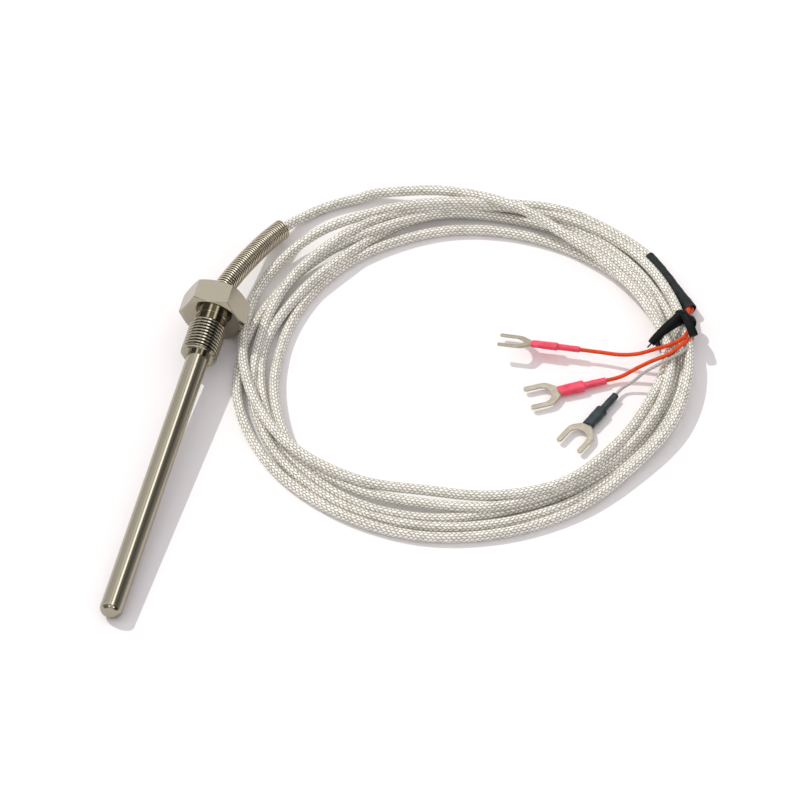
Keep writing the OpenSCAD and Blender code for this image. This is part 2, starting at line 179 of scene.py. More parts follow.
# %% Node helpers
class Finish:
    """A material whose Principled shader is ready, with short calls for its other nodes."""

    def __init__(self, name, **inputs):
        self.material = bpy.data.materials.new(name)
        self.material.use_nodes = True
        self.tree = self.material.node_tree
        self.shader = self.tree.nodes["Principled BSDF"]
        self.put(self.shader, inputs)

    def put(self, node, inputs):
        for key, value in inputs.items():
            socket = node.inputs[key if isinstance(key, int) else key.replace("_", " ")]
            if isinstance(value, bpy.types.NodeSocket):
                self.tree.links.new(value, socket)
            else:
                socket.default_value = value

    def node(self, kind, out=0, attributes=None, **inputs):
        made = self.tree.nodes.new("ShaderNode" + kind)
        for key, value in (attributes or {}).items():
            setattr(made, key, value)
        self.put(made, inputs)
        return made.outputs[out]

    def math(self, operation, a, b=0.0):
        made = self.tree.nodes.new("ShaderNodeMath")
        made.operation = operation
        self.put(made, {0: a, 1: b})
        return made.outputs[0]

    def ramp(self, value, *stops):
        """Colours or greys along 0 to 1, given as (place, colour) pairs."""
        made = self.tree.nodes.new("ShaderNodeValToRGB")
        bar = made.color_ramp.elements
        while len(bar) < len(stops):
            bar.new(0.5)
        for element, (place, colour) in zip(bar, stops):
            element.position = place
            element.color = (*((colour,) * 3 if isinstance(colour, (int, float)) else colour), 1)
        self.put(made, {0: value})
        return made.outputs[0]

    def noise(self, vector, scale, detail=3.0):
        return self.node("TexNoise", Vector=vector, Scale=scale, Detail=detail)

    def place(self, stretch=(1, 1, 1), turn=(0, 0, 0)):
        """Object coordinates, turned and stretched."""
        spot = self.node("TexCoord", "Object")
        return self.node("Mapping", Vector=spot, Rotation=turn, Scale=stretch)

    def along_and_around(self):
        """The UV map's two numbers: metres along the piece, and 0 to 1 around it."""
        split = self.tree.nodes.new("ShaderNodeSeparateXYZ")
        self.put(split, {0: self.node("UVMap")})
        return split.outputs[0], split.outputs[1]

    def dents(self, height, strength, distance):
        bump = self.node("Bump", Strength=strength, Distance=distance, Height=height)
        self.put(self.shader, {"Normal": bump})

# %% [markdown]
# ## Floor, air and lamps
# The floor is white and the lamps are balanced so that a level white face comes out just white:
# about half of the light comes from the air all round and half from one low lamp at the left,
# which draws the soft grey shadows. The lamps stay modest, so each colour looks as it is written.

# %% Stage and light
def backdrop():
    size = 3.0
    mesh = bpy.data.meshes.new("floor")
    corners = [(-size, -size, 0), (size, -size, 0), (size, size, 0), (-size, size, 0)]
    mesh.from_pydata(corners, [], [(0, 1, 2, 3)])
    floor = bpy.data.objects.new("floor", mesh)
    scene.collection.objects.link(floor)
    paper = Finish("floor_paper", Base_Color=(0.97, 0.965, 0.968, 1), Roughness=0.9, Specular_IOR_Level=0.0)
    mesh.materials.append(paper.material)


def light_the_air(level):
    """Air of one even colour that lights the part, and plain white where it is seen or mirrored."""
    world = bpy.data.worlds.new("air")
    scene.world = world
    world.use_nodes = True
    tree = world.node_tree
    path = tree.nodes.new("ShaderNodeLightPath")
    shows_white = path.outputs["Is Camera Ray"]
    for ray in ("Is Transmission Ray", "Is Glossy Ray"):
        either = tree.nodes.new("ShaderNodeMath")
        either.operation = "MAXIMUM"
        tree.links.new(shows_white, either.inputs[0])
        tree.links.new(path.outputs[ray], either.inputs[1])
        shows_white = either.outputs[0]
    mix = tree.nodes.new("ShaderNodeMix")
    mix.data_type = "RGBA"
    tree.links.new(shows_white, mix.inputs[0])
    mix.inputs[6].default_value = (*level, 1)
    mix.inputs[7].default_value = (1, 1, 1, 1)
    tree.links.new(mix.outputs[2], tree.nodes["Background"].inputs["Color"])


def light_tent():
    """Half a drum round the probe's axis: a point at angle a and height y is (R cos a, y, R sin a)."""
    drum_r = 2.0
    a, y = np.meshgrid(np.linspace(0, 180, 181), np.linspace(-3, 14, 69), indexing="ij")
    points = np.stack([drum_r * np.cos(np.radians(a)), y, drum_r * np.sin(np.radians(a))], -1)
    faces, i, j = grid_faces(*a.shape, around=False)
    mesh = bpy.data.meshes.new("light_tent")
    mesh.from_pydata(points.reshape(-1, 3), [], faces.tolist())
    across = np.interp(a.ravel(), [0, 12, 25, 39, 55, 72, 76, 87, 91, 98, 101, 112, 116, 180],
                       [0.44, 0.39, 0.24, 0.16, 0.23, 0.46, 3.3, 3.3, 0.98, 0.96, 1.32, 1.32, 0.98, 0.80])
    endways = np.interp(y.ravel(), [-3, -0.6, 0.2, 0.9, 2.2, 2.8, 14], [0.25, 0.3, 1.3, 1.0, 1.0, 0.2, 0.1])
    paint = mesh.attributes.new("glow", "FLOAT", "POINT")
    lamps = sum(6 * np.exp(-((a.ravel() - at) / 8) ** 2 - ((y.ravel() + 1.5) / 0.35) ** 2)
                for at in (58, 108))
    paint.data.foreach_set("value", (across * endways + lamps).astype(np.float32))
    cloth = bpy.data.materials.new("tent_cloth")
    cloth.use_nodes = True
    nodes, links = cloth.node_tree.nodes, cloth.node_tree.links
    nodes.clear()
    value = nodes.new("ShaderNodeAttribute")
    value.attribute_name = "glow"
    lit = nodes.new("ShaderNodeEmission")
    links.new(value.outputs["Fac"], lit.inputs["Strength"])
    links.new(lit.outputs[0], nodes.new("ShaderNodeOutputMaterial").inputs[0])
    mesh.materials.append(cloth)
    tent = bpy.data.objects.new("light_tent", mesh)
    scene.collection.objects.link(tent)
    tent.visible_camera = tent.visible_diffuse = tent.visible_shadow = tent.visible_transmission = False


backdrop()
light_tent()
light_the_air((0.74, 0.705, 0.72))
lamp = bpy.data.lights.new("low_lamp", "SUN")
lamp.energy, lamp.angle, lamp.color = 1.75, 0.015, (1.0, 0.98, 0.95)
low_lamp = bpy.data.objects.new("low_lamp", lamp)
scene.collection.objects.link(low_lamp)
low_lamp.visible_glossy = False
lamp_way = Vector((np.cos(np.radians(-26)), np.sin(np.radians(-26)), -np.tan(np.radians(46))))
low_lamp.rotation_euler = lamp_way.to_track_quat("-Z", "Y").to_euler()
print("stage and lamps are up")

# %% [markdown]
# ## The cable's route
# The cable leaves the hexagon through the spring, drops to the floor and winds clockwise about
# five and a third times before it ends in its boot. The turns of a hand-wound coil are not circles:
# they drift in and out and climb over each other. So each turn is a row of distances from the middle
# of the coil, one every 20 degrees, with the heights of the cable's middle in a second table. A
# separate calculation made both tables: it laid each strand on the ones below it, 2.1 mm from
# middle to middle. That is less than the cable's thickness, so crossing strands press into each
# other. A few numbers were changed afterwards. The points before and after the turns don't
# quite repeat the CAD's: they were raised near the spring and moved where they meet the turns.

# %% Route of the cable
cable_d = 2.8 * mm
insertion_len, hex_af, hex_h = 98.0, 16.0, 7.5
tube_r, tip_radius, spring_seat_depth, hidden_lead = 3, 1.9, 3, 4.4
hex_back = insertion_len + hex_h
lean_rise = hex_af / 2 - tube_r + tip_radius
lean_run = insertion_len + 0.25 * np.tan(np.radians(30)) - tip_radius
lean = np.arccos(tip_radius / np.hypot(lean_rise, lean_run)) - np.arctan2(lean_run, lean_rise)
tip_z = (tube_r - tip_radius) * np.cos(lean) - tip_radius * np.sin(lean) + tip_radius


def on_axis(s):
    """A point on the probe's own axis, s mm from its tip."""
    return [0, -hex_back / 2 + s * np.cos(lean), tip_z + s * np.sin(lean)]


lead_in = [on_axis(insertion_len - hidden_lead), on_axis(hex_back - spring_seat_depth), on_axis(hex_back),
           [0.35, 56, 8.4], [1.2, 60, 8.15], [2.7, 66, 7.4], [4.7, 73.5, 5.9], [6.8, 80.5, 4.2],
           [9.6, 87, 2.9], [12.4, 91.6, 1.9], [16.7, 96.5, 1.5],
           [21.4, 100.2, 1.5], [26.5, 103.2, 1.7], [31.5, 105.8, 2.3]]
coil_middle = np.array([69.0, 55.5])
turn_radius = [
    [56.2, 49.9, 47.1, 48.1, 49.9, 53.2, 53.4, 52.7, 53.0, 53.8, 53.5, 56.3, 58.0, 54.4, 50.7, 48.4],
    [46.7, 45.3, 45.1, 45.2, 46.4, 49.1, 53.1, 55.2, 53.8,
     53.6, 53.6, 54.5, 57.4, 59.4, 59.1, 57.5, 55.0, 50.3],
    [47.9, 49.2, 51.9, 52.8, 53.5, 54.0, 54.7, 57.2, 56.4,
     55.8, 56.9, 58.1, 60.1, 61.9, 61.9, 60.2, 56.7, 54.8],
    [52.6, 52.1, 50.8, 52.3, 54.8, 56.9, 57.2, 58.2, 58.6,
     57.7, 59.5, 61.3, 63.4, 64.5, 65.2, 64.1, 60.4, 56.0],
    [52.2, 49.2, 49.9, 50.1, 50.9, 51.2, 51.8, 52.2, 50.3,
     51.0, 52.8, 51.4, 49.9, 54.8, 58.9, 60.3, 61.2, 61.3],
    [58.8, 53.5, 51.3, 52.5],
]
turn_height = [
    [5.2, 7.5, 5.8, 4.0, 4.7, 4.5, 3.8, 3.4, 3.4, 3.4, 2.6, 2.6, 3.0, 2.4, 1.4, 1.4],
    [1.4, 1.4, 1.4, 1.4, 1.4, 1.4, 1.4, 1.4, 1.4, 1.4, 1.4, 1.4, 1.4, 1.4, 1.4, 1.4, 1.8, 2.9],
    [3.1, 2.2, 1.4, 1.4, 1.4, 1.8, 2.6, 2.5, 1.6, 1.4, 1.4, 1.4, 1.4, 1.4, 1.4, 2.0, 2.6, 3.6],
    [5.1, 4.8, 4.6, 3.8, 3.2, 3.0, 3.9, 4.4, 3.4, 2.4, 1.5, 1.4, 1.4, 1.4, 1.4, 1.4, 1.4, 1.8],
    [3.0, 4.2, 3.0, 1.6, 1.6, 3.0, 3.4, 3.0, 3.6, 5.0, 5.5, 4.8, 3.6, 4.6, 5.2, 4.2, 3.4, 2.6],
    [4.0, 6.0, 6.1, 5.1],
]
tail = [[77.6, 109.6, 4.4], [85.4, 109.9, 3.3], [91, 108.8, 2.5], [96.5, 106.9, 2.2], [102, 104.3, 2.2],
        [106.2, 101.8, 2.2], [109.6, 99, 2.2], [112.6, 96.1, 2.2], [115.6, 92.9, 2.2],
        [118.2, 89.9, 2.2], [120.8, 86.8, 2.2]]


def wound_turns():
    """middle + radius (cos, sin) of an angle that goes down 20 degrees a step, turn after turn."""
    rows = []
    for turn, (radii, heights) in enumerate(zip(turn_radius, turn_height)):
        angle = np.radians((150 if turn else 110) - 360 * turn - 20 * np.arange(len(radii)))
        r = np.array(radii)
        rows.append(np.stack([coil_middle[0] + r * np.cos(angle), coil_middle[1] + r * np.sin(angle),
                              np.array(heights)], -1))
    return np.vstack(rows)


cable_points = np.vstack([lead_in, wound_turns(), tail]) * mm
cable_line = evenly(smooth_line(cable_points, 12), 0.9 * mm)

# %% [markdown]
# ## The cable: tinned braid under a clear jacket
# The jacket is clear, so what we see is a plait of fine tinned wires with a glossy skin over it.
# Modelling every wire would take millions of faces. A pattern does instead. It splits the surface
# into lanes along the cable, and each lane into short floats. Every second lane is shifted by half a
# float and leans the other way. The pattern follows every bend because it is drawn from the UV map:
# how far along, and how far around. Its colour is a painted highlight on each float's crown and
# painted shade in the gaps between floats.

# %% Cable
plait_pitch, plait_rows = 1.3 * mm, 12


def braid_finish():
    """Floats of tinned wire: each is (sin along it)^0.55 times (sin across it)^0.4; this crown also paints a
    highlight on each float and shade between floats.
    """
    cloth = Finish("cable_braid", Roughness=0.4, Specular_IOR_Level=0.4, Coat_Weight=0.35, Coat_Roughness=0.2)
    along_it, around_it = cloth.along_and_around()
    lane = cloth.math("MULTIPLY", around_it, plait_rows)
    lane_number, in_lane = cloth.math("FLOOR", lane), cloth.math("FRACT", lane)
    odd = cloth.math("FLOORED_MODULO", lane_number, 2.0)
    lean_way = cloth.math("SUBTRACT", 1.0, cloth.math("MULTIPLY", odd, 2.0))
    off_middle = cloth.math("SUBTRACT", in_lane, 0.5)
    slant = cloth.math("MULTIPLY", cloth.math("MULTIPLY", off_middle, 0.42), lean_way)
    sway = cloth.math("MULTIPLY", cloth.noise(cloth.place(), 330.0, 1.0), 0.9)
    step = cloth.math("ADD", cloth.math("DIVIDE", along_it, plait_pitch),
                      cloth.math("ADD", cloth.math("MULTIPLY", odd, 0.5), cloth.math("ADD", slant, sway)))
    length_way = cloth.math("SINE", cloth.math("MULTIPLY", cloth.math("FRACT", step), np.pi))
    width_way = cloth.math("SINE", cloth.math("MULTIPLY", in_lane, np.pi))
    crown = cloth.math("MULTIPLY", cloth.math("POWER", length_way, 0.55), cloth.math("POWER", width_way, 0.4))
    which = cloth.node("CombineXYZ", X=cloth.math("FLOOR", step), Y=lane_number)
    own = cloth.node("TexWhiteNoise", Vector=which)
    fine = cloth.math("MULTIPLY", cloth.noise(cloth.place(), 800.0), 0.3)
    worn = cloth.math("ADD", cloth.math("MULTIPLY", own, 0.30), fine)
    dull = cloth.math("MULTIPLY", cloth.noise(cloth.place(), 60.0), 0.3)
    level = cloth.math("MULTIPLY", crown, cloth.math("SUBTRACT", cloth.math("ADD", worn, 0.82), dull))
    # Painted highlight and shade: the colour is near white on each float's crown and dark in the gaps between
    # floats. The per-float and cloudy noises add random tone.
    colour = cloth.ramp(level, (0.10, (0.20, 0.187, 0.142)), (0.38, (0.45, 0.435, 0.36)),
                        (0.62, (0.71, 0.70, 0.62)), (0.90, (1.0, 0.995, 0.93)))
    cloth.put(cloth.shader, {"Base Color": colour})
    cloth.dents(crown, 0.5, 0.11 * mm)
    return cloth.material


def cord_piece(name, line, d, sides, material, *nodes):
    piece = make_piece(name, [tube_shell(line, d / 2, sides)])
    piece.data.materials.append(material)
    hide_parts(*nodes)
    return piece


cable = cord_piece("cable", cable_line, cable_d, 14, braid_finish(),
                   "cable_lead_in", "cable_coil", "cable_tail")

# %% [markdown]
# ## The three leads
# Past the boot, the cable fans out into two orange leads and one clear one. They pass under the
# twisted tie, drop from the coil and reach their terminals. Their routes are the same listed
# points that the CAD solids follow.

# %% Leads
lead_1_route = [[120.9, 86.7, 3], [122.45, 84.1, 3.15], [122.4, 81.6, 4.5], [123.1, 78.1, 5.1],
                [124.2, 75.2, 5.1], [124, 72.3, 5.8], [122.8, 69.4, 6.5], [120.2, 66.9, 6.6],
                [116.8, 64.9, 6.2], [112.8, 63.6, 4.8], [108.1, 63, 3.8], [102.6, 62.9, 3.4],
                [96.2, 62.4, 3.4]]
lead_2_route = [[121.4, 87.1, 2.1], [123.3, 84.8, 2], [122, 81.3, 3.1], [123.6, 78.6, 3.9], [125.3, 76, 4.2],
                [125.4, 73, 4.8], [124.5, 70, 6], [123, 66.9, 6.5], [120.8, 63.8, 6.5], [117, 60.9, 6],
                [113.4, 59.4, 3.8], [109.6, 57.3, 1.7], [105, 54.6, 1.45]]
lead_3_route = [[120.4, 86.3, 1.7], [122.2, 83.95, 1.62], [121.8, 81.2, 1.7], [123.5, 78.5, 2.7],
                [125.2, 76.2, 2.9], [126, 72.6, 3.8], [125.6, 69.2, 5.2], [124.2, 65.8, 6.2],
                [121.6, 62.6, 6.4], [118.8, 59.6, 6.3], [116, 57.2, 5.5], [113.2, 55.4, 2.8],
                [110.7, 53.4, 1.55], [109.2, 49.8, 1.45]]


def orange_finish():
    skin = Finish("orange_lead", Roughness=0.4, Specular_IOR_Level=0.25)
    spots = skin.noise(skin.place(), 900.0)
    colour = skin.ramp(spots, (0.3, (0.66, 0.050, 0.005)), (0.7, (0.84, 0.085, 0.010)))
    skin.put(skin.shader, {"Base Color": colour})
    skin.dents(spots, 0.15, 0.05 * mm)
    return skin.material


def clear_finish():
    skin = Finish("clear_lead", Roughness=0.25, Coat_Weight=0.8, Coat_Roughness=0.1)
    along_it, around_it = skin.along_and_around()
    strand_pitch, strands = 1.2 * mm, 7.0
    twist = skin.math("ADD", skin.math("DIVIDE", along_it, strand_pitch),
                      skin.math("MULTIPLY", around_it, strands))
    wires = skin.math("SINE", skin.math("MULTIPLY", twist, 2 * np.pi))
    level = skin.math("MULTIPLY_ADD", wires, 0.5)
    level.node.inputs[2].default_value = 0.5
    # Painted shade: the colour darkens in the grooves between the twisted strands and lightens on their tops.
    colour = skin.ramp(level, (0.0, (0.20, 0.19, 0.17)), (0.6, (0.46, 0.45, 0.42)), (1.0, (0.72, 0.71, 0.67)))
    skin.put(skin.shader, {"Base Color": colour})
    skin.dents(level, 0.4, 0.06 * mm)
    return skin.material


orange, clear = orange_finish(), clear_finish()
for name, node, route, d, material, slot in [
        ("lead_upper", "lead_orange_1", lead_1_route, 1.1, orange, "orange_lead"),
        ("lead_middle", "lead_orange_2", lead_2_route, 1.1, orange, "orange_lead"),
        ("lead_lower", "lead_clear", lead_3_route, 0.9, clear, "clear_lead")]:
    line = evenly(smooth_line(np.array(route) * mm, 12), 0.35 * mm)
    lead = cord_piece(name, line, d * mm, 12, material, node)

# %% [markdown]
# ## The spring
# The strain relief is a spring of round wire whose coils nearly touch. Its middle line is the
# cable itself, so the spring bends with it. A point on the wire is found in two steps: walk along
# the cable, step out by the coil's radius at a turning angle, then go round the small circle of
# the wire. The second circle lies in the plane of "outwards" and "forwards".

# %% Spring
spring_r, wire_d, pitch = 2.5 * mm, 0.7 * mm, 0.8 * mm


def spring_shell(start, reach):
    """line(s) + R (cos a side + sin a across) + r (cos b out - sin b way), a = one turn a pitch."""
    s = np.arange(0, reach, pitch / 22)
    turn = (2 * np.pi * s / pitch)[:, None]
    fine = evenly(smooth_line(cable_points[:16], 24), 0.2 * mm)
    way, side, across = frames(along(fine, start + s))
    out = np.cos(turn) * side + np.sin(turn) * across
    centre = along(fine, start + s) + spring_r * out
    b = np.linspace(0, 2 * np.pi, 10, endpoint=False)[None, :, None]
    grid = centre[:, None] + wire_d / 2 * (np.cos(b) * out[:, None] - np.sin(b) * way[:, None])
    return grid, run_of(centre), False


def spring_finish():
    wire = Finish("spring_wire", Metallic=1.0, Roughness=0.2)
    around_it = wire.along_and_around()[1]
    drawn = wire.math("MULTIPLY", wire.noise(wire.place(), 700.0), 0.2)
    # Painted shade and highlight: the wire is coloured near black on its inner side and where it faces the
    # next coil, and light only on its outward crest. The noise adds drawn-wire marks.
    outward = wire.math("COSINE", wire.math("MULTIPLY", around_it, 2 * np.pi))
    level = wire.math("ADD", outward, drawn)
    colour = wire.ramp(level, (0.0, (0.028, 0.02, 0.012)), (0.62, (0.14, 0.108, 0.07)),
                       (0.92, (0.54, 0.475, 0.365)), (1.0, (0.74, 0.67, 0.54)))
    wire.put(wire.shader, {"Base Color": colour})
    return wire.material


spring_start = (hex_back - spring_seat_depth - insertion_len + hidden_lead + 0.45) * mm
spring = make_piece("strain_relief", [spring_shell(spring_start, 37.2 * mm)])
spring.data.materials.append(spring_finish())
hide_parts("strain_relief_spring")

# %% [markdown]
# ## The threaded fitting
# A lathe makes the shank, so its outline is a profile turned round the axis. Two things are not
# round: the thread, whose ridge moves along by one pitch in one turn, and the hexagon. Both are
# easy when the radius is a formula of the angle and of the place along the axis. For a hexagon the
# radius is half the distance across flats divided by the cosine of the angle from the nearest flat.

# %% Fitting
probe_dir = np.array([0, np.cos(lean), np.sin(lean)])
probe_side = np.array([1.0, 0, 0])
probe_up = np.cross(probe_side, probe_dir)
thread_r, thread_root, thread_pitch = 5, 4.42, 1.0
shank_len, relief_len, relief_r = 13, 2.4, 4.2
tube_socket, cable_hole_r = 1.6, 1.6


def round_probe(s, r, angle):
    """A point s along the probe's axis and r away from it, at an angle round it (all in mm)."""
    base = np.array(on_axis(0))
    return (base + s[..., None] * probe_dir
            + (r * np.cos(angle))[..., None] * probe_side + (r * np.sin(angle))[..., None] * probe_up) * mm


def thread_radius(s, angle):
    """root + depth * smoothstep(ridge): flat-topped ridges that move one pitch for each turn."""
    phase = (s / thread_pitch - angle / (2 * np.pi)) % 1.0
    ridge = np.clip(1.75 - 4.0 * np.abs(phase - 0.5), 0, 1)
    return thread_root + (thread_r - thread_root) * ridge * ridge * (3 - 2 * ridge)


def soft_min(a, b, soft):
    """The smaller of two lengths, with the corner between them rounded."""
    h = np.clip(0.5 + 0.5 * (b - a) / soft, 0, 1)
    return b + (a - b) * h - soft * h * (1 - h)


def fitting_shell():
    """Rings along the axis: bore, shank end, thread, relief groove, hexagon, spring seat, bore again."""
    angle = np.linspace(0, 2 * np.pi, 264, endpoint=False)[None, :]
    flat = hex_af / 2 / np.cos(angle % (np.pi / 3) - np.pi / 6)
    seat, shank_end, groove = insertion_len, insertion_len - shank_len, insertion_len - relief_len
    socket = seat + tube_socket
    rows_s, rows_r = [], []

    def ring(s, r):
        rows_s.append(np.full((1, angle.size), float(s)))
        rows_r.append(np.broadcast_to(np.asarray(r, float), (1, angle.size)))

    for s, r in [(socket, tube_r), (shank_end, tube_r), (shank_end, tube_r + 0.1), (shank_end, 4.1)]:
        ring(s, r)
    s = np.arange(shank_end, groove + 0.1, 1 / 16)[:, None] + 0 * angle
    cut = np.minimum(relief_r + (s - shank_end), relief_r + np.maximum(groove - s, 0) * 2.3)
    rows_s.append(s)
    rows_r.append(soft_min(thread_radius(s, angle), np.maximum(cut, relief_r), 0.06))
    for s, r in [(groove + 0.15, relief_r), (seat - 0.1, relief_r), (seat, relief_r + 0.08),
                 (seat, hex_af / 2 - 0.4)]:
        ring(s, r)
    step_in = np.concatenate([np.linspace(0, 1.25, 51), [1.6, 2.6]])
    for s in np.concatenate([seat + step_in, hex_back - step_in[::-1]]):
        cone = hex_af / 2 - 0.25 + min(s - seat, hex_back - s) / np.tan(np.radians(30))
        ring(s, soft_min(flat, cone, 0.12))
    spring_seat = hex_back - spring_seat_depth
    for s, r in [(hex_back, hex_af / 2 - 0.4), (hex_back, tube_r + 0.1), (hex_back - 0.05, tube_r),
                 (spring_seat, tube_r), (spring_seat, cable_hole_r), (socket, cable_hole_r),
                 (socket, tube_r)]:
        ring(s, r)
    s, r = np.vstack(rows_s), np.vstack(rows_r)
    return round_probe(s, r, angle + 0 * s), s[:, 0] * mm, True


def steel_finish(name, tone, rough, streak=(700, 12, 700)):
    steel = Finish(name, Metallic=1.0, Roughness=rough)
    lines = steel.noise(steel.place(streak, (-lean, 0, 0)), 1.0, 4.0)
    groove = steel.node("Attribute", 2, {"attribute_name": "groove"})
    # Painted shade: the groove attribute pulls the colour towards near black in the thread's roots. The
    # streak noise is random brushed tone.
    level = steel.math("SUBTRACT", lines, steel.math("MULTIPLY", groove, 0.62))
    steel.put(steel.shader, {
        "Base Color": steel.ramp(level, (0.0, (0.035, 0.028, 0.018)), (0.3, tuple(0.95 * c for c in tone)),
                                 (0.75, tone)),
        "Roughness": steel.ramp(lines, (0.3, rough * 0.8), (0.7, rough * 1.25))})
    steel.dents(lines, 0.02, 0.01 * mm)
    return steel.material


def paint_root_shade(piece):
    """groove = (crest - r) / depth on the thread, where r is a point's distance from the probe's axis; it
    paints shade into the thread's roots.
    """
    spots = np.empty(len(piece.data.vertices) * 3)
    piece.data.vertices.foreach_get("co", spots)
    spots = spots.reshape(-1, 3) / mm - on_axis(0)
    s, r = spots @ probe_dir, np.hypot(spots @ probe_side, spots @ probe_up)
    on_thread = (s > insertion_len - 12.2) & (s < insertion_len - 2.6) & (r > 4.15)
    mark = piece.data.attributes.new("groove", "FLOAT", "POINT")
    depth = np.clip((thread_r - r) / (thread_r - thread_root), 0, 1)
    mark.data.foreach_set("value", np.where(on_thread, depth, 0).astype(np.float32))


fitting = make_piece("threaded_fitting", [fitting_shell()], 32)
paint_root_shade(fitting)
fitting.data.materials.append(steel_finish("turned_steel", (0.37, 0.338, 0.266), 0.13, (25, 260, 25)))
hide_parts("hex_fitting")
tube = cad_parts["protection_tube"]
tube.data.materials.clear()
tube.data.materials.append(steel_finish("tube_steel", (0.37, 0.336, 0.262), 0.16))

# %% [markdown]
# ## The boot on the end of the cable
# A length of black shrink tubing grips the end of the braid and opens into a mouth for the leads.
# It was squeezed flat in places while it was warm, so its section is an oval whose two half widths
# change along it. The wall is made by running the same grid back along the inside, which closes the
# surface without a modifier.

# %% Boot
def oval_shell(line, half_w, half_h, sides):
    """Rings: point + w cos a side + h sin a across, w and h given for each point of the line."""
    _, side, across = frames(line)
    a = np.linspace(0, 2 * np.pi, sides, endpoint=False)
    w, h = (np.broadcast_to(np.asarray(v, float), (len(line),))[:, None, None] for v in (half_w, half_h))
    grid = line[:, None] + w * np.cos(a)[:, None] * side[:, None] + h * np.sin(a)[:, None] * across[:, None]
    return grid, run_of(line), False


def open_sleeve(line, half_w, half_h, wall, sides=28):
    """An oval shell and the same shell a wall further in, walked back, so that the wall is closed."""
    outer, run, _ = oval_shell(line, half_w, half_h, sides)
    inner, _, _ = oval_shell(line, half_w - wall, half_h - wall, sides)
    return np.vstack([outer, inner[::-1], outer[:1]]), np.concatenate([run, run[::-1], run[:1]]), False


def shrink_finish(name, tone, light, rough=0.42, gloss=0.3):
    skin = Finish(name, Roughness=rough, Specular_IOR_Level=gloss)
    cloudy = skin.noise(skin.place(), 420.0, 4.0)
    grain = skin.noise(skin.place(), 2600.0, 2.0)
    skin.put(skin.shader, {"Base Color": skin.ramp(cloudy, (0.3, tone), (0.72, light))})
    skin.dents(skin.math("ADD", cloudy, skin.math("MULTIPLY", grain, 0.35)), 0.45, 0.12 * mm)
    return skin.material


black_shrink = shrink_finish("black_shrink", (0.006, 0.009, 0.009), (0.022, 0.029, 0.027), 0.5, 0.25)
boot_line = evenly(smooth_line(np.array(tail[5:] + [[122.8, 84.4, 2.2]]) * mm, 12), 0.35 * mm)
boot_line = boot_line[run_of(boot_line) > 2.4 * mm]
place = np.linspace(0, 1, len(boot_line))
stations = [0, 0.04, 0.3, 0.62, 0.80, 0.96, 1]
boot_w = np.interp(place, stations, [1.70, 1.66, 1.58, 1.56, 1.80, 2.05, 2.08]) * mm
boot_h = np.interp(place, stations, [1.76, 1.74, 1.62, 1.60, 1.72, 1.90, 1.94]) * mm
boot_w = boot_w * (1 + 0.025 * np.sin(place * 31) + 0.015 * np.sin(place * 73 + 1))
boot = make_piece("shrink_boot", [open_sleeve(boot_line, boot_w, boot_h, 0.28 * mm)], 50)
boot.data.materials.append(black_shrink)
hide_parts("cable_end_boot")

# %% [markdown]
# ## The twisted tie
# A tie is a flat strip with a wire in its middle. One formula serves the loop and both ends: a
# ribbon is a line, a direction for its width at each point, and a section that is a flat rounded
# rectangle with a raised rib along the wire. The loop hugs the bundle; its two ends are twisted
# together on top, one lying inwards and one outwards.

# %% Tie
def ribbon_shell(line, across, width, thick, ribs=0.0, sides=24):
    """Section: x = w/2 sgn(cos a)|cos a|^0.4 across, y = t/2 sgn(sin a)|sin a|^0.4 upwards."""
    way = unit(np.gradient(line, axis=0))
    across = unit(across - np.sum(across * way, -1, keepdims=True) * way)
    up = np.cross(across, way)
    a = np.linspace(0, 2 * np.pi, sides, endpoint=False)
    w = np.broadcast_to(np.asarray(width, float), (len(line),))[:, None, None] / 2
    t = thick / 2 * (1 + ribs * np.sin(run_of(line) / (0.42 * mm) * 2 * np.pi))[:, None, None]
    rib = 1 + 0.9 * np.exp(-(np.cos(a) / 0.35) ** 2)
    grid = line[:, None] + w * rounded(np.cos(a), 0.4)[:, None] * across[:, None] \
        + t * (rounded(np.sin(a), 0.4) * rib)[:, None] * up[:, None]
    return grid[:, ::-1], run_of(line), False


tie_middle, tie_turn = np.array([120.6, 74.9, 3.4]), np.radians(50)
over = np.array([np.cos(tie_turn), np.sin(tie_turn), 0])
bundle_way = np.array([-np.sin(tie_turn), np.cos(tie_turn), 0])


def tie_loop():
    """A flattened loop: (6.35 sgn|cos|^0.75, 3.0 sgn|sin|^0.75) in the plane across the bundle."""
    a = np.linspace(np.radians(64), np.radians(64 + 360), 120)
    line = tie_middle + 6.35 * rounded(np.cos(a), 0.75)[:, None] * over \
        + 3.0 * rounded(np.sin(a), 0.75)[:, None] * np.array([0, 0, 1])
    return ribbon_shell(line * mm, np.broadcast_to(bundle_way, line.shape), 2.3 * mm, 0.5 * mm, 0.08)


def tie_end(points, spread, widths, lean_way):
    line = evenly(smooth_line(np.array(points) * mm, 16), 0.14 * mm)
    u = np.linspace(0, 1, len(line))
    turn = np.interp(u, *spread)[:, None]
    across = np.cos(turn) * np.asarray(lean_way) + np.sin(turn) * np.array([0, 0, 1.0])
    return ribbon_shell(line, across, np.interp(u, *widths) * mm, 0.55 * mm, 0.10)


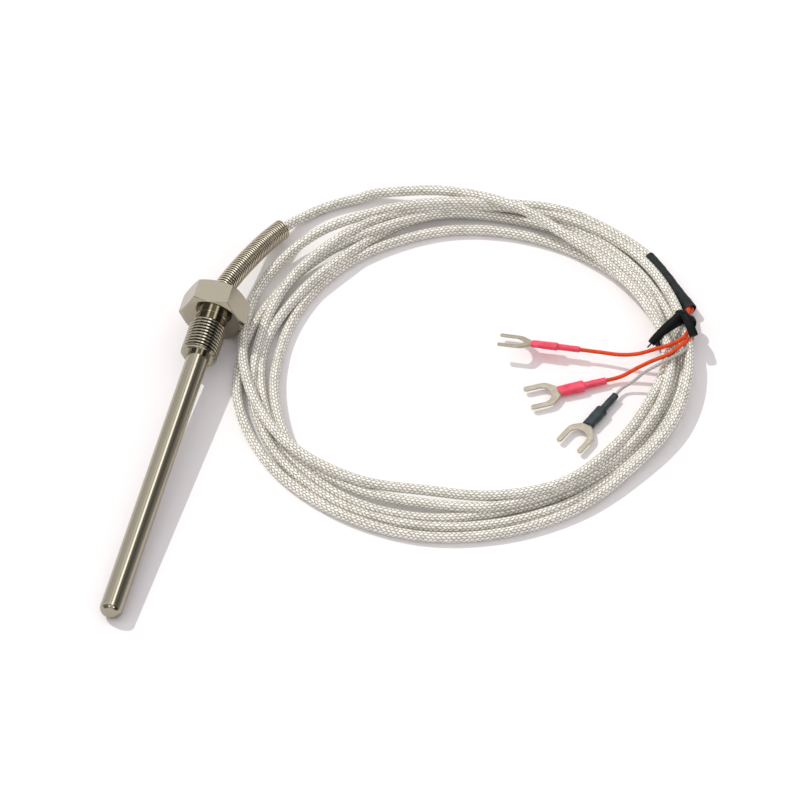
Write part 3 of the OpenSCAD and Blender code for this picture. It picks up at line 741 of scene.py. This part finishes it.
inner_end = tie_end([[122.6, 78.9, 7.2], [121.5, 77.4, 7.7], [119.9, 74.8, 7.4], [118.1, 71.9, 6.9],
                     [116.4, 69.3, 5.8], [115.5, 67.8, 5.0]],
                    ([0, 0.2, 0.5, 1], [1.3, 0.5, 0.25, 0.5]),
                    ([0, 0.15, 0.5, 0.97, 1], [1.6, 2.4, 2.3, 2.1, 1.9]), bundle_way)
outer_end = tie_end([[120.2, 78.0, 7.3], [121.5, 78.1, 8.0], [123.0, 76.6, 8.1], [124.7, 74.2, 7.5],
                     [126.3, 71.7, 6.8]],
                    ([0, 0.2, 0.5, 1], [-0.3, 0.0, 0.1, 0.1]),
                    ([0, 0.2, 0.5, 0.98, 1], [1.6, 2.2, 2.4, 2.4, 2.2]), [0.85, 0.5, 0.0])
wire_tip = np.array([[115.8, 68.3, 5.2], [115.2, 67.3, 4.8], [114.8, 66.6, 4.6]]) * mm
knot_line = np.stack([121.6 + 0.9 * np.sin(np.linspace(0, 4.5, 40)), 78.3 + np.linspace(-0.9, 0.9, 40),
                      7.4 + 0.7 * np.cos(np.linspace(0, 4.5, 40))], -1) * mm
black_tie = shrink_finish("tie_strip", (0.002, 0.003, 0.003), (0.008, 0.010, 0.010), 0.38, 0.12)
tie = make_piece("bundle_tie", [tie_loop(), inner_end, outer_end, tube_shell(knot_line, 0.8 * mm, 14),
                                tube_shell(smooth_line(wire_tip), 0.22 * mm, 8)], 50)
tie.data.materials.append(black_tie)
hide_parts("twist_tie")

# %% [markdown]
# ## Fork terminals
# Each fork is stamped from thin sheet. Seen from above it is a strip bent round its slot: the strip
# has a middle line and a half width, and a rounded rectangle is carried along it. Round the slot the
# outer edge is where a ray from the slot's centre meets the nearest of five straight edges.

# %% Forks
fork_half, slot_half, fork_reach, web, sheet_t = 4.0, 2.52, 8.8, 1.9, 0.6
slot_centre = web + 2.8
prong_half, tip_r = 0.74, 0.6


def outer_edge(e):
    """Distance along the direction e from the slot's centre to the nearest edge: h / (n . e)."""
    slope = unit(np.array([-2.3, 2.6]))
    normals = np.array([[0, 1], [0, -1], slope, slope * [1, -1], [-1, 0]])
    shoulder = slope @ [2.6 - slot_centre, fork_half]
    reach = np.array([fork_half, fork_half, shoulder, shoulder, slot_centre + 0.5])
    facing = np.maximum(e @ normals.T, 1e-6)
    return (np.sum((reach / facing) ** -14.0, axis=1)) ** (-1 / 14.0)


def fork_shell():
    """Middle line C(u) + tau H(u), tau from -1 (slot) to 1 (outer edge), with the sheet's section."""
    x = np.concatenate([fork_reach - tip_r * (1 - np.cos(np.linspace(0.15, np.pi / 2, 8))),
                        np.linspace(fork_reach - 0.8, slot_centre, 8)[:-1]])
    half = prong_half * np.sqrt(np.clip(1 - ((x - (fork_reach - tip_r)) / tip_r).clip(0, 1) ** 2, 0.02, 1))
    prong_c = np.stack([x, np.full_like(x, fork_half - prong_half)], -1)
    prong_h = np.stack([0 * x, half], -1)
    angle = np.radians(np.linspace(90, 270, 61))
    e = np.stack([np.cos(angle), np.sin(angle)], -1)
    inner, outer = slot_half * e, outer_edge(e)[:, None] * e
    bend_c, bend_h = (inner + outer) / 2 + [slot_centre, 0], (outer - inner) / 2
    flip = np.array([1, -1])
    c = np.vstack([prong_c, bend_c, (prong_c * flip)[::-1]])
    h = np.vstack([prong_h, bend_h, (prong_h * flip)[::-1]])
    a = np.linspace(0, 2 * np.pi, 20, endpoint=False)
    flat = c[:, None] + h[:, None] * rounded(np.cos(a), 0.38)[:, None]
    lift = np.broadcast_to(sheet_t / 2 * rounded(np.sin(a), 0.38), flat.shape[:2])
    return np.concatenate([flat, lift[..., None]], -1)[:, ::-1]


def barrel_shell():
    """Ovals along the terminal's axis, from the flat neck to the round barrel."""
    x = np.linspace(-0.15, -4.8, 40)
    blend = np.clip(-x / 1.3, 0, 1)
    blend = blend * blend * (3 - 2 * blend)
    w, h = 1.5 + (1.0 - 1.5) * blend, 0.3 + 0.3 * blend
    a = np.linspace(0, 2 * np.pi, 24, endpoint=False)
    return np.stack([x[:, None] + 0 * a, w[:, None] * np.cos(a), h[:, None] * np.sin(a)], -1)


def at_terminal(points, place):
    """Roll about the terminal's own axis, then turn to its direction and move to its place."""
    (x0, y0, z0), way, roll = place
    r, w = np.radians(roll), np.radians(way)
    x, y, z = points[..., 0], points[..., 1], points[..., 2]
    y, z = y * np.cos(r) - z * np.sin(r), y * np.sin(r) + z * np.cos(r)
    return np.stack([x0 + x * np.cos(w) - y * np.sin(w), y0 + x * np.sin(w) + y * np.cos(w), z0 + z], -1) * mm


terminals = [((84.2, 61.5, 3.4), 184.5, 27), ((94.7, 48.5, 1.45), 210.5, 0), ((104.6, 38.7, 1.45), 247.5, 0)]


def tinned_finish():
    tin = Finish("tinned_sheet", Metallic=0.6, Roughness=0.5)
    cloudy = tin.noise(tin.place(), 900.0, 4.0)
    colour = tin.ramp(cloudy, (0.3, (0.45, 0.405, 0.32)), (0.7, (0.56, 0.515, 0.42)))
    tin.put(tin.shader, {"Base Color": colour})
    tin.dents(cloudy, 0.25, 0.03 * mm)
    return tin.material


tinned = tinned_finish()
for number, place in enumerate(terminals, 1):
    plate = at_terminal(fork_shell(), place)
    barrel = at_terminal(barrel_shell(), place)
    fork = make_piece(f"fork_{number}", [(plate, np.linspace(0, 0.03, len(plate)), False),
                                         (barrel, np.linspace(0, 0.006, len(barrel)), False)], 60)
    fork.data.materials.append(tinned)
    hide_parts(f"fork_terminal_{number}")

# %% [markdown]
# ## Shrink sleeves on the terminals
# Heated tubing draws down on what is inside it, so the sleeve shows the barrel as a wide, slightly
# flat part, then a step, then a narrow part on the lead. Its edges are a little wavy. The half
# width and half height are read from two short lists, and a few small waves are added.

# %% Sleeves
def sleeve_shell(flatness, neck_flat, seed):
    """x runs back from the fork; half width w(x), half height h(x), each with small waves."""
    x = np.concatenate([[0.0, 0.04, 0.12], np.linspace(0.25, 12.8, 90), [12.93, 12.98, 13.0]])
    stations = [0.0, 0.12, 0.8, 6.4, 6.75, 7.1, 12.6, 13.0]
    w = np.interp(x, stations, [1.46, 1.56, 1.56, 1.66, 1.52, 0.98, 0.95, 0.92])
    h = np.interp(x, stations, [0.95, 1.05, 1.25, 1.34, 1.28, 0.92, 0.90, 0.86])
    h = np.where(x < 6.6, h * flatness, h * neck_flat)
    a = np.linspace(0, 2 * np.pi, 36, endpoint=False)
    wave = 1 + 0.022 * np.sin(1.9 * x + seed)[:, None] * np.cos(2 * a + seed) \
        + 0.012 * np.sin(5.3 * x + 2 * seed)[:, None] * np.cos(3 * a)
    slant = 0.28 * np.cos(a - seed) * np.clip(1 - x / 1.5, 0, 1)[:, None]
    outer = np.stack([-x[:, None] - 0.1 + slant, w[:, None] * wave * rounded(np.cos(a), 0.82),
                      h[:, None] * wave * rounded(np.sin(a), 0.82)], -1)
    inner = np.stack([outer[..., 0], outer[..., 1] * 0.76, outer[..., 2] * 0.76], -1)
    return np.vstack([outer, inner[::-1], outer[:1]])


red_shrink = shrink_finish("red_shrink", (0.70, 0.040, 0.085), (0.94, 0.105, 0.17), 0.4, 0.35)
slate_shrink = shrink_finish("slate_shrink", (0.020, 0.032, 0.036), (0.045, 0.060, 0.066), 0.45)
for name, node, place, flat, neck, seed, skin, slot in [
        ("red_sleeve_1", "sleeve_red_1", terminals[0], 0.66, 0.85, 0.4, red_shrink, "red_shrink"),
        ("red_sleeve_2", "sleeve_red_2", terminals[1], 0.86, 0.95, 2.1, red_shrink, "red_shrink"),
        ("black_sleeve", "sleeve_black", terminals[2], 0.90, 1.0, 4.0, slate_shrink, "black_shrink")]:
    grid = at_terminal(sleeve_shell(flat, neck, seed), place)
    sleeve = make_piece(name, [(grid, np.linspace(0, 0.026, len(grid)), False)], 45)
    sleeve.data.materials.append(skin)
    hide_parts(node)

# %% [markdown]
# ## What is inside
# The probe's inner parts can't be seen from outside, but they are in the model, so each gets its own
# finish: white ceramic, packed oxide powder, drawn nickel wire and a brown casting resin. A cloudy
# noise on Object coordinates is enough for all of them; only its scale and its two tones differ.

# %% Inner finishes
def inner_finish(name, dark, light, scale, depth, **sockets):
    body = Finish(name, **sockets)
    cloudy = body.noise(body.place(), scale, 5.0)
    body.put(body.shader, {"Base Color": body.ramp(cloudy, (0.3, dark), (0.7, light))})
    body.dents(cloudy, 0.4, depth * mm)
    return body.material


ceramic = inner_finish("white_ceramic", (0.74, 0.72, 0.66), (0.86, 0.84, 0.79), 600, 0.05, Roughness=0.6)
powder = inner_finish("oxide_powder", (0.62, 0.59, 0.53), (0.80, 0.77, 0.71), 2600, 0.15, Roughness=0.95)
nickel = inner_finish("nickel_wire", (0.42, 0.39, 0.34), (0.55, 0.52, 0.46), 1500, 0.02,
                      Roughness=0.3, Metallic=1.0)
resin = inner_finish("cast_resin", (0.045, 0.026, 0.014), (0.09, 0.055, 0.030), 300, 0.05, Roughness=0.3)
for node, material in [("sensing_element", ceramic), ("insulator_core", ceramic), ("powder_fill", powder),
                       ("core_wire_1", nickel), ("core_wire_2", nickel), ("core_wire_3", nickel),
                       ("potting_plug", resin)]:
    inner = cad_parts[node]
    inner.data.materials.clear()
    inner.data.materials.append(material)
